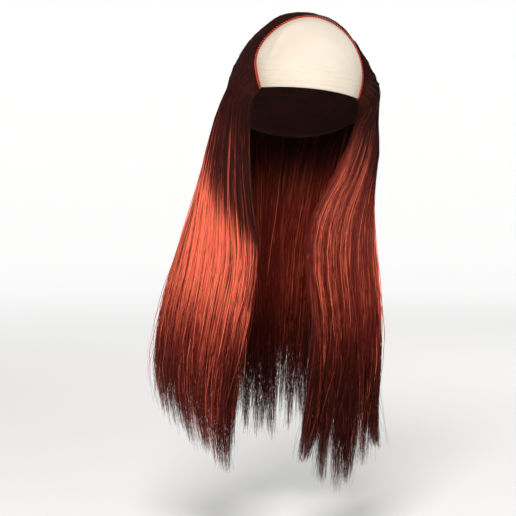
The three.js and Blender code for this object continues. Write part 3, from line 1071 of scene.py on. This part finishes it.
@dataclass
class HairMass:
    """One mass of hair: locks of fine strands round a plain core."""

    name: str
    fall: HairFall
    hand: Hand | None
    start: float
    end: float
    tips: tuple[Tip, ...]
    # Painted shade across the mass: higher where the hair faces the key light, lower where it turns away
    painted_shades: tuple[float, ...]
    dye: Dye
    seed: int
    clumps: int = 26
    strands: int = 1490
    samples: int = 17
    radius: float = 0.4 * MM
    frizz: float = 3.0 * MM
    groove: float = 0.2
    slant: float = 0.0
    contrast: float = 0.07
    mottle: float = 0.24
    stray_share: float = 0.07
    stray_size: float = 4.2
    # Shares of strands painted with a highlight and with shadow, and how much lighter or darker they are
    # painted
    lit_share: float = 0.14
    lit_tone: float = 0.36
    shadow_share: float = 0.2
    shadow_tone: float = 0.6
    inner_shade: float = 0.25
    core_grid: tuple[int, int] = (25, 56)
    core_depths: tuple[float, float] = (0.56, 0.16)
    core_start: float = 3 * MM
    # How much darker the core is painted, as shade under the strands
    core_shade: float = -0.3
    lock_follow: float = 0.45
    rng: np.random.Generator = field(init=False)

    def __post_init__(self) -> None:
        """Seeds the mass's own random numbers."""
        self.rng = np.random.default_rng(self.seed)

    def reach(self) -> float:
        """Signed reach that the tips' places are shares of."""
        reaches = {Hand.LEFT: -self.fall.left_reach, Hand.RIGHT: self.fall.right_reach}
        return reaches.get(self.hand, self.fall.half_curtain)

    def across(self, share: Array) -> Array:
        """Places across the whole side for places across this mass."""
        return self.start + (self.end - self.start) * share

    def tone(self, share: Array) -> Array:
        """Painted shade of the hair at places across this mass, lighter where it faces the key light and
        darker where it turns away.
        """
        return np.interp(share, np.linspace(0, 1, len(self.painted_shades)), self.painted_shades)

    def crest(self, share: Array) -> Array:
        """Share of the full thickness left by the grooves between locks."""
        return 1 - self.groove * (1 - np.abs(np.sin(np.pi * len(self.tips) * share)) ** 0.7)

    def keys(self, share: Array) -> tuple[Array, Array]:
        """Finds key points with the free tip added.

        Args:
            share: Places across this mass, 0 to 1.

        Returns:
            Outer and inner key points, (keys, places, 3).
        """
        across = self.across(share)
        outer, inner = self.fall.curtain(across) if self.hand is None else self.fall.tress(self.hand, across)
        count = len(self.tips)
        lock = np.clip((share * count).astype(int), 0, count - 1)
        centre = 0.5 * (outer[-1] + inner[-1])
        order = np.argsort(share)
        middle_share = (np.arange(count) + 0.5) / count
        middle = np.stack([np.interp(middle_share, share[order], centre[order, k]) for k in range(3)], axis=1)
        aside = np.array([tip.aside * self.reach() for tip in self.tips])
        low = np.array([-tip.drop * self.fall.length for tip in self.tips])
        end = np.column_stack([aside, middle[:, 1] + 3 * MM, low])[lock]
        end = end + (centre - middle[lock]) * self.lock_follow
        half = (outer[-1] - inner[-1]) * 0.25
        return np.concatenate([outer, (end + half)[None]]), np.concatenate([inner, (end - half)[None]])

    def key_lengths(self) -> Array:
        """Distance of each key from the root, along the middle of the mass."""
        outer, _ = self.keys(np.linspace(0.05, 0.95, 15))
        return run_length(outer.mean(axis=1))

    def puff(self, keys: int, share: Array) -> Array:
        """Works out the share of the mass's thickness that its strands fill.

        Args:
            keys: Number of key levels.
            share: Places across the mass.

        Returns:
            Shares, (keys, places, 1).
        """
        flat, full = np.ones((2, keys, 1))
        flat[:len(CAP_KEYS), 0] = [key.flat for key in CAP_KEYS]
        full[:len(CAP_KEYS), 0] = [key.full for key in CAP_KEYS]
        right = smooth_step(self.across(share), *FULL_RANGE[self.hand])
        return (flat * (1 - right) + full * right)[..., None]

    def courses(self, share: Array, depth: Array, distance: Array) -> Array:
        """Finds points along smooth courses through the mass.

        Args:
            share: Place of each course across the mass.
            depth: Place of each course from the inner face 0 to the outer face 1.
            distance: Distances from the root, (courses, samples).

        Returns:
            Points, (courses, samples, 3).
        """
        outer, inner = self.keys(share)
        outer = inner + (outer - inner) * self.puff(len(outer), share)
        length = self.key_lengths()
        level = (depth * self.crest(share))[:, None, None]
        total = np.zeros((*distance.shape, 3))
        spread = smooth_step(distance, 0.0, 0.08)
        for offset, weight in SMOOTHING:
            at = np.interp(distance + offset * spread, length, np.arange(len(length)))
            top, under = spline(outer, at), spline(inner, at)
            total += weight * (under + (top - under) * level)
        least = (1.9 * MM + 1.2 * MM * np.clip(depth, 0, 1))[:, None]
        rising = 0.6 + 0.4 * smooth_step(distance, 0, 0.03)
        return self.fall.arch.head.clear(total, least * rising)

    def build_core(self, material: Material) -> Object:
        """Makes the plain body under the strands, which ends where the locks part.

        Args:
            material: Finish of the core.

        Returns:
            The core.
        """
        across, along = self.core_grid
        share = np.linspace(0.01, 0.99, across)
        stop = (self.key_lengths()[-3] + self.rng.uniform(-0.03, 0.015, across))[:, None]
        distance = self.core_start + (stop - self.core_start) * np.linspace(0, 1, along)[None, :]
        top, under = (self.courses(share, np.full(across, depth), distance) for depth in self.core_depths)
        fade = (1 - 0.9 * smooth_step(distance - stop, -0.12, 0))[..., None]
        middle = 0.5 * (top + under)
        uv = np.stack(np.broadcast_arrays(share[:, None], distance), axis=-1)
        outer, inner = (middle + (face - middle) * fade for face in (top, under))
        mesh = wall_mesh(f"{self.name}_core", outer, inner, uv)
        dye = self.dye.place(-middle[..., 2], self.across(share)[:, None])
        # The core is painted darker than the strands, as the shade under them
        tone = np.broadcast_to(self.tone(share)[:, None] + self.core_shade, dye.shape)
        for name, values in (("dye", dye), ("tone", tone)):
            store(mesh, name, np.concatenate([values.ravel()] * 2))
        mesh.materials.append(material)
        return add_object(f"{self.name}_core", mesh)

    def strand_lines(self) -> Mesh:
        """Makes the centre lines of the strands, with their girth, their painted shade with mottle, and their
        dye with painted sheen.

        Returns:
            Mesh of loose edges.
        """
        rng, n = self.rng, self.strands
        share = rng.uniform(-0.04, 1.04, n)
        table = np.array([layer.value for layer in Layer])
        ranges = table[rng.choice(len(table), n, p=table[:, 2])]
        depth = rng.uniform(ranges[:, 0], ranges[:, 1])
        length = self.key_lengths()
        begin = np.where(rng.random(n) < 0.6, rng.uniform(0, 0.6, n), rng.uniform(0, 4.5, n))
        begin = np.interp(begin, np.arange(len(length)), length)
        clump = np.clip((share * self.clumps + rng.normal(0, 0.25, n)).astype(int), 0, self.clumps - 1)
        ends = -np.abs(rng.normal(0, 0.028, self.clumps))
        finish = length[-1] + ends[clump] - np.abs(rng.normal(0, 0.03, n)) + rng.uniform(-0.004, 0.008, n)
        finish -= self.slant * share + 0.16 * (rng.random(n) < 0.1) * rng.random(n)
        way = np.linspace(0, 1, self.samples)[None, :] ** 1.5
        jitter = rng.uniform(-0.45, 0.45, (n, 1)) / (self.samples - 1) * np.sin(np.pi * way)
        distance = begin[:, None] + (finish - begin)[:, None] * (way + jitter)
        points = self.courses(share, depth, distance)
        middle = (np.arange(self.clumps) + rng.uniform(0.2, 0.8, self.clumps)) / self.clumps
        centre = self.courses(middle[clump], np.clip(0.55 * depth + 0.25, 0, 1), distance)
        gather = 0.12 * smooth_step(distance, 0.10, 0.24) + 0.62 * smooth_step(way, 0.72, 1.0)
        points += (centre - points) * (gather * rng.uniform(0.3, 1.0, (n, 1)))[..., None]
        points += self.sway(distance / length[-1])
        index = np.arange(n * self.samples).reshape(n, self.samples)
        edges = np.stack([index[:, :-1], index[:, 1:]], axis=-1).reshape(-1, 2)
        mesh = new_mesh(f"{self.name}_lines", points, edges.tolist(), [])
        self.colour_lines(mesh, -points[..., 2], share, depth, clump)
        taper = 1 - 0.8 * smooth_step(np.broadcast_to(way, distance.shape), 0.7, 1.0)
        store(mesh, "girth", taper * rng.uniform(0.65, 1.3, (n, 1)))
        return mesh

    def colour_lines(self, mesh: Mesh, drop: Array, share: Array, depth: Array, clump: Array) -> None:
        """Stores the strands' painted shade with its mottle, and their dye with its painted sheen.

        Args:
            mesh: The strands' centre lines.
            drop: Depth of each point below the crown.
            share: Place of each strand across the mass.
            depth: Depth of each strand in the mass.
            clump: Number of each strand's clump.
        """
        rng, n = self.rng, self.strands
        # Some strands get a painted highlight, others painted shadow
        lit = rng.random(n) < self.lit_share
        shadowed = rng.random(n) < self.shadow_share
        # Painted shade across the mass with random mottle for each strand and clump; strands deep in the mass
        # are painted darker, as shade
        tone = self.tone(share) + rng.normal(0, self.mottle, n)
        tone = tone + rng.normal(0, self.contrast, self.clumps)[clump]
        tone = tone - self.inner_shade * (1 - np.clip(depth, 0, 1))
        tone = tone + self.lit_tone * lit - self.shadow_tone * shadowed
        dye = self.dye.place(drop, self.across(share)[:, None]) + rng.normal(0, 0.035, (n, 1))
        # Below the crown, lit strands keep their colour within the bright band, as a painted highlight
        held = np.clip(dye, rng.uniform(0.25, 0.315, (n, 1)), rng.uniform(0.62, 0.76, (n, 1)))
        store(mesh, "dye", dye + (held - dye) * (smooth_step(drop, 0.07, 0.16) * lit[:, None]))
        store(mesh, "tone", np.broadcast_to(tone[:, None], dye.shape))

    def sway(self, along: Array) -> Array:
        """Works out the slow wander of each strand, larger towards its tip.

        Args:
            along: Place of each sample along the hair, 0 to 1.

        Returns:
            Offsets, same shape with a last axis of 3.
        """
        rng, n = self.rng, len(along)
        stray = np.where(rng.random(n) < self.stray_share, self.stray_size, 1.0)[:, None]
        size = 0.4 * MM + 3.6 * MM * smooth_step(along, 0.3, 1.0)
        offset = np.zeros((*along.shape, 3))
        for axis in (0, 1):
            for waves, share, strays in SWAY:
                phase = rng.uniform(0, 2 * np.pi, (n, 1))
                rate = waves * rng.uniform(0.7, 1.4, (n, 1))
                scale = share * stray if strays else share
                offset[..., axis] += scale * size * np.sin(2 * np.pi * rate * along + phase)
        return offset

    def build(self, maker: NodeMaker, strand: Material, core: Material) -> Object:
        """Makes the mass and puts it in place of its CAD node.

        Args:
            maker: Tree that makes the strands.
            strand: Finish of the strands.
            core: Finish of the core.

        Returns:
            The finished piece.
        """
        body = self.build_core(core)
        piece = add_object(f"{self.name}_locks", self.strand_lines())
        maker.apply(piece, Radius=self.radius, Frizz=self.frizz, Seed=float(self.seed), Core=body,
                    Material=strand)
        bpy.data.objects.remove(body)
        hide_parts(self.name)
        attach(piece, "root")
        return piece


@dataclass(frozen=True)
class Pull:
    """A soft fold where the cloth is stretched, between two places on the panel."""

    low: tuple[float, float]
    high: tuple[float, float]
    width: float = 0.034
    height: float = 1.2 * MM

    def lift(self, u: Array, v: Array) -> Array:
        """Works out the height of the fold.

        Args:
            u: Places across the panel.
            v: Places up the panel.

        Returns:
            Heights.
        """
        way = np.subtract(self.high, self.low)
        span = np.hypot(*way)
        along = ((u - self.low[0]) * way[0] + (v - self.low[1]) * way[1]) / span**2
        aside = ((u - self.low[0]) * way[1] - (v - self.low[1]) * way[0]) / span
        return self.height * np.exp(-((aside / self.width) ** 2)) * np.sin(np.pi * np.clip(along, 0, 1))


@dataclass
class BaldPanel:
    """Cream stretch cloth between the brow hem and the seam."""

    arch: SeamArch
    wall: float = 1.3 * MM
    hem_wall: float = 2.2 * MM
    hem_share: float = 0.1
    hem_bow: float = 1.5
    wrinkle: float = 0.4 * MM
    shoulder: float = 0.64
    columns: int = 120
    rows: int = 96
    uv_size: tuple[float, float] = (0.15, 0.13)
    pulls: tuple[Pull, ...] = (Pull((0.16, 0.5), (0.36, 0.95)), Pull((0.83, 0.45), (0.65, 0.93)))

    def angles(self, u: Array, v: Array) -> Array:
        """Finds side and rise angles over the panel.

        Args:
            u: Places across, 0 to 1.
            v: Places up from the hem, 0 to 1.

        Returns:
            Angles, same shape with a last axis of 2.
        """
        def edge(place: Array) -> Array:
            """Angles of the panel's edge."""
            return angles_of(self.arch.edge(place, self.arch.margin))

        across, up = u[..., None], v[..., None]
        left, right = edge(-1 + v * (1 - self.shoulder)), edge(1 - v * (1 - self.shoulder))
        top = edge(self.shoulder * (2 * u - 1))
        ones = np.ones_like(u)
        low = edge(-ones) * (1 - across) + edge(ones) * across
        hem = low + np.stack([0 * u, self.hem_bow * np.sin(np.pi * u)], axis=-1)
        high = edge(-self.shoulder * ones) * (1 - across) + edge(self.shoulder * ones) * across
        return left * (1 - across) + right * across + hem * (1 - up) + top * up - low * (1 - up) - high * up

    def ease(self, u: Array, v: Array) -> Array:
        """Works out the height of the soft folds above the head.

        Args:
            u: Places across.
            v: Places up from the hem.

        Returns:
            Heights.
        """
        bands = np.sin(np.pi * np.minimum(v / 0.34, 1) * 2 + 0.5 * np.sin(7 * u)) ** 2
        reach = smooth_step(v, 0, 0.04) * (1 - smooth_step(v, 0.3, 0.42))
        return self.wrinkle * np.sin(np.pi * u) * bands * reach + sum(pull.lift(u, v) for pull in self.pulls)

    def build(self, material: Material) -> Object:
        """Args:
            material: Finish of the cloth.

        Returns:
            The finished piece.
        """
        up = np.linspace(0, 1, self.rows) ** 1.05
        u, v = np.meshgrid(np.linspace(0, 1, self.columns), up, indexing="ij")
        angle = self.angles(u, v)
        direction = side_direction(angle[..., 0], angle[..., 1])
        ease = self.ease(u, v)
        hem = 1 - smooth_step(v, self.hem_share - 0.015, self.hem_share + 0.012)
        wall = self.wall + (self.hem_wall - self.wall) * hem * np.sqrt(np.clip(v / 0.012, 0.2, 1))
        outer, inner = (self.arch.head.place(direction, lift) for lift in (ease + wall, ease))
        mesh = wall_mesh("bald_panel_cloth", outer, inner, np.stack([u, v], axis=-1) * self.uv_size)
        # Painted shade: darker towards the side and top edges, where the cloth turns away from the light, and
        # a little at the hem for the shadow under its fold; the inner face takes the full shade
        border = np.minimum(np.minimum(u, 1 - u), 1 - v) * 6
        rim = 0.85 * (1 - smooth_step(border, 0.0, 1.0)) + 0.1 * hem
        store(mesh, "rim", np.concatenate([rim.ravel(), np.ones(rim.size)]))
        mesh.materials.append(material)
        piece = add_object("bald_panel_cloth", mesh)
        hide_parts("bald_panel")
        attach(piece, "root")
        return piece


@dataclass
class WigCap:
    """Dark elastic cap from the seam back over the crown to the nape."""

    arch: SeamArch
    wall: float = 1.5 * MM
    temple_turn: float = 72.0
    temple_level: float = -12.0
    nape_level: float = -36.0
    columns: int = 110
    rows: int = 40
    uv_size: tuple[float, float] = (0.2, 0.25)

    def build(self, material: Material) -> Object:
        """Args:
            material: Finish of the net.

        Returns:
            The finished piece.
        """
        place = np.linspace(-1, 1, self.columns)
        back = 1 - np.abs(place)
        turn = self.temple_turn + (180 - self.temple_turn) * back**0.8
        level = self.temple_level + (self.nape_level - self.temple_level) * np.sin(np.pi / 2 * back)
        end = compass_direction(np.where(place < 0, -1, 1) * turn, level)
        start = self.arch.edge(place, -self.arch.margin)
        share = np.linspace(0, 1, self.rows)
        shape = (self.columns, self.rows, 3)
        direction = between(np.broadcast_to(start[:, None], shape), np.broadcast_to(end[:, None], shape),
                            np.broadcast_to(share, shape[:2]))
        outer, inner = (self.arch.head.place(direction, lift) for lift in (self.wall, 0.0))
        uv = np.stack(np.broadcast_arrays(place[:, None], share[None, :]), axis=-1) * self.uv_size
        mesh = wall_mesh("wig_cap_net", outer, inner, uv)
        mesh.materials.append(material)
        piece = add_object("wig_cap_net", mesh)
        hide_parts("wig_cap")
        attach(piece, "root")
        return piece


@dataclass
class EdgeSeam:
    """Raised overlocked seam: a welt wound with thread."""

    arch: SeamArch
    turns: float = 84.0
    turn_points: int = 13
    thread: float = 0.4 * MM
    samples: int = 400
    rings: int = 160
    sides: int = 10

    def frames(self, count: int) -> tuple[Array, Array, Array]:
        """Finds the centre line of the welt.

        Args:
            count: Number of points.

        Returns:
            Points, and their side and top directions.
        """
        direction = self.arch.direction(np.linspace(-1, 1, count))
        radius = self.arch.welt / 2
        centre, above = (self.arch.head.place(direction, lift) for lift in (radius, radius + MM))
        along = unit(np.gradient(centre, axis=0))
        beside = unit(np.cross(above - centre, along))
        return centre, beside, unit(np.cross(along, beside))

    def build(self, maker: NodeMaker, welt: Material, thread: Material) -> list[Object]:
        """Makes the welt and the thread round it.

        Args:
            maker: Tree that winds the thread.
            welt: Finish of the welt.
            thread: Finish of the thread.

        Returns:
            The two pieces.
        """
        core = self.build_welt(welt)
        centre, beside, upright = self.frames(self.samples)
        mesh = new_mesh("edge_seam_thread", centre, [(k, k + 1) for k in range(self.samples - 1)], [])
        store(mesh, "beside", beside, "FLOAT_VECTOR")
        store(mesh, "upright", upright, "FLOAT_VECTOR")
        piece = add_object("edge_seam_thread", mesh)
        maker.apply(piece, Turns=self.turns, Wrap=self.arch.welt / 2 + 0.2 * MM, Radius=self.thread,
                    Count=int(self.turns * self.turn_points), Material=thread)
        for made in (core, piece):
            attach(made, "root")
        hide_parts("edge_seam")
        return [core, piece]

    def build_welt(self, material: Material) -> Object:
        """Makes the closed round welt along the arch.

        Args:
            material: Finish of the welt.

        Returns:
            The welt.
        """
        centre, beside, upright = self.frames(self.rings)
        turn = np.linspace(0, 2 * np.pi, self.sides, endpoint=False)
        ring = beside[:, None] * np.cos(turn)[:, None] + upright[:, None] * np.sin(turn)[:, None]
        points = centre[:, None] + (self.arch.welt / 2 - 0.25 * MM) * ring
        last = (self.rings - 1) * self.sides
        ends = [tuple(range(self.sides - 1, -1, -1)), tuple(range(last, last + self.sides))]
        mesh = new_mesh("edge_seam_welt", points, [], ring_faces(self.rings, self.sides) + ends)
        face_outwards(mesh)
        mesh.materials.append(material)
        return add_object("edge_seam_welt", mesh)


@dataclass(frozen=True)
class Lamp:
    """Square soft light aimed at the middle of the wig."""

    name: str
    place: Point
    size: float
    power: float
    colour: Colour
    aim: Point = (-0.05, 0.0, -0.25)

    def build(self) -> None:
        """Makes the light."""
        data = bpy.data.lights.new(self.name, "AREA")
        data.size, data.energy, data.color = self.size, self.power, self.colour
        light = add_object(self.name, data)
        light.location = self.place
        light.rotation_euler = (Vector(self.aim) - Vector(self.place)).to_track_quat("-Z", "Y").to_euler()


@dataclass(frozen=True)
class Studio:
    """Pale floor, soft lights and the camera at the photograph's angle."""

    azimuth: float = -9.0
    elevation: float = 3.0
    distance: float = 2.6
    metres_per_pixel: float = 0.00126
    frame_pixels: int = 516
    crown_pixel: tuple[float, float] = (311.0, 15.3)
    floor_level: float = -0.66
    floor_radius: float = 5.0
    sweep_radius: float = 2.0
    sides: int = 96
    world: float = 0.45
    lamps: tuple[Lamp, ...] = (
        Lamp("key", (-0.7, -2.6, 1.45), 1.0, 96, (1.0, 0.97, 0.93)),
        Lamp("fill", (2.0, -2.2, 0.3), 1.8, 10, (0.95, 0.97, 1.0)),
        Lamp("rim", (1.3, 1.9, 1.2), 1.2, 14, (1.0, 0.98, 0.95)),
    )

    def build(self) -> None:
        """Makes the floor, the lights, the world and the camera."""
        bpy.context.scene.view_settings.view_transform = "Standard"
        self.build_floor()
        world = bpy.data.worlds.new("studio")
        world.use_nodes = True
        background = world.node_tree.nodes["Background"].inputs
        background["Color"].default_value = (1.0, 1.0, 1.0, 1)
        background["Strength"].default_value = self.world
        bpy.context.scene.world = world
        for lamp in self.lamps:
            lamp.build()
        self.build_camera()

    def build_floor(self) -> None:
        """Makes a wide pale floor that turns up smoothly all round."""
        turn = np.radians(np.linspace(0, 90, 13))
        radius = np.concatenate([[0.01], self.floor_radius + self.sweep_radius * np.sin(turn)])[:, None]
        height = np.concatenate([[0.0], self.sweep_radius * (1 - np.cos(turn))])[:, None] + self.floor_level
        around = np.linspace(0, 2 * np.pi, self.sides, endpoint=False)
        coordinates = np.broadcast_arrays(radius * np.cos(around), radius * np.sin(around), height)
        points = np.stack(coordinates, axis=-1)
        walls = [face[:1] + face[:0:-1] for face in ring_faces(len(radius), self.sides)]
        faces = [tuple(range(self.sides))] + walls
        floor = add_object("studio_floor", new_mesh("studio_floor", points, [], faces))
        finish = Finish("pale_floor", {"Roughness": 0.9, "Specular IOR Level": 0.1,
                                       "Base Color": (0.9, 0.9, 0.9), "Emission Color": (1, 1, 1)})
        tree = finish.tree
        place = {0: object_place(tree)}
        reach = node(tree, "ShaderNodeVectorMath", place, operation="LENGTH").outputs["Value"]
        fade = eased(tree, reach, (0.8, 0.05), (5.0, 0.5))
        seen = node(tree, "ShaderNodeLightPath").outputs["Is Camera Ray"]
        floor.data.materials.append(finish.dress({"Emission Strength": maths(tree, "MULTIPLY", fade, seen)}))

    def build_camera(self) -> None:
        """Makes the camera, which sees the crown and the tips where the photograph does."""
        a, e = math.radians(self.azimuth), math.radians(self.elevation)
        back = Vector((math.sin(a) * math.cos(e), -math.cos(a) * math.cos(e), math.sin(e)))
        right = Vector((math.cos(a), math.sin(a), 0))
        aside, below = ((self.frame_pixels / 2 - value) * self.metres_per_pixel for value in self.crown_pixel)
        data = bpy.data.cameras.new("camera")
        data.sensor_width = 36
        data.lens = 36 * self.distance / (self.frame_pixels * self.metres_per_pixel)
        data.clip_end = 100
        camera = add_object("camera", data)
        camera.location = right * aside - back.cross(right) * below + back * self.distance
        camera.rotation_euler = back.to_track_quat("Z", "Y").to_euler()
        bpy.context.scene.camera = camera


def hair_masses(fall: HairFall) -> list[HairMass]:
    """Lists the six masses of hair with the ends of their locks.

    Args:
        fall: Paths of the hair.

    Returns:
        The masses, in the order in which they are built.
    """
    left, right = Hand.LEFT, Hand.RIGHT
    # Painted shade of both back masses, which with their strong inner shade keeps the curtain dark behind the
    # tresses; each mass's tuple after its tips is its painted shade across it, lighter on the left tresses
    # that face the key light and darker on the right ones that turn away
    back = (0.4, 0.46, 0.4)
    return [
        HairMass("left_front_tress", fall, left, 0.0, 0.5,
                 (Tip(0.56, 0.95), Tip(0.60, 0.94), Tip(0.66, 0.91)),
                 (0.2, 0.45, 0.68, 0.82, 0.85), LEFT_DYE_AND_SHEEN, 11, slant=0.02),
        HairMass("left_side_tress", fall, left, 0.5, 1.0,
                 (Tip(0.73, 0.9), Tip(0.82, 0.885), Tip(0.91, 0.875)),
                 (0.85, 0.88, 0.82, 0.72, 0.65), LEFT_DYE_AND_SHEEN, 12, slant=0.055),
        HairMass("right_front_tress", fall, right, 0.0, 0.5,
                 (Tip(-0.3, 0.92), Tip(0.0, 0.97), Tip(0.22, 1.0)),
                 (-0.15, 0.05, 0.2, 0.12, -0.05), RIGHT_DYE_AND_SHEEN, 13, contrast=0.14, lit_share=0.2),
        HairMass("right_side_tress", fall, right, 0.5, 1.0,
                 (Tip(0.38, 0.975), Tip(0.58, 0.95), Tip(0.84, 0.9)),
                 (-0.05, -0.1, -0.08, 0.22, -0.15), RIGHT_DYE_AND_SHEEN, 14, contrast=0.14, lit_share=0.2),
        HairMass("left_back_hair", fall, None, 0.0, 0.5,
                 (Tip(-0.8, 0.86), Tip(-0.68, 0.89), Tip(-0.52, 0.91), Tip(-0.36, 0.92)),
                 back, BACK_DYE_AND_SHEEN, 15, inner_shade=0.75),
        HairMass("right_back_hair", fall, None, 0.5, 1.0,
                 (Tip(-0.2, 0.93), Tip(-0.05, 0.91), Tip(0.12, 0.9), Tip(0.27, 0.87)),
                 back, BACK_DYE_AND_SHEEN, 16, inner_shade=0.75),
    ]


def main() -> None:
    """Builds every piece on the frame."""
    logging.basicConfig(level=logging.INFO, format="%(name)s: %(message)s")
    arch = SeamArch()
    knit, fibre = knit_group(), fibre_group()
    pieces = [BaldPanel(arch).build(PanelFinish().build(knit)), WigCap(arch).build(CapFinish().build(knit))]
    welt = ThreadFinish("seam_welt", (0.09, 0.006, 0.004), (0.2, 0.016, 0.01)).build()
    thread = ThreadFinish("seam_thread", (0.78, 0.058, 0.030), (1.0, 0.16, 0.090)).build()
    pieces += EdgeSeam(arch).build(wrap_maker(), welt, thread)
    strand = HairFinish("hair_fibre", 0.0, 0.34).build(fibre)
    # The core's finish is painted a little darker still, as shade under the strands
    core = HairFinish("hair_under", -0.05, 0.5).build(fibre)
    maker = strand_maker()
    for mass in hair_masses(HairFall(arch)):
        pieces.append(mass.build(maker, strand, core))
    total = 0
    for piece in pieces:
        piece.data.calc_loop_triangles()
        total += len(piece.data.loop_triangles)
        LOG.info("%s has %d triangles", piece.name, len(piece.data.loop_triangles))
    LOG.info("in all %d triangles", total)
    Studio().build()


if __name__ == "__main__":
    main()
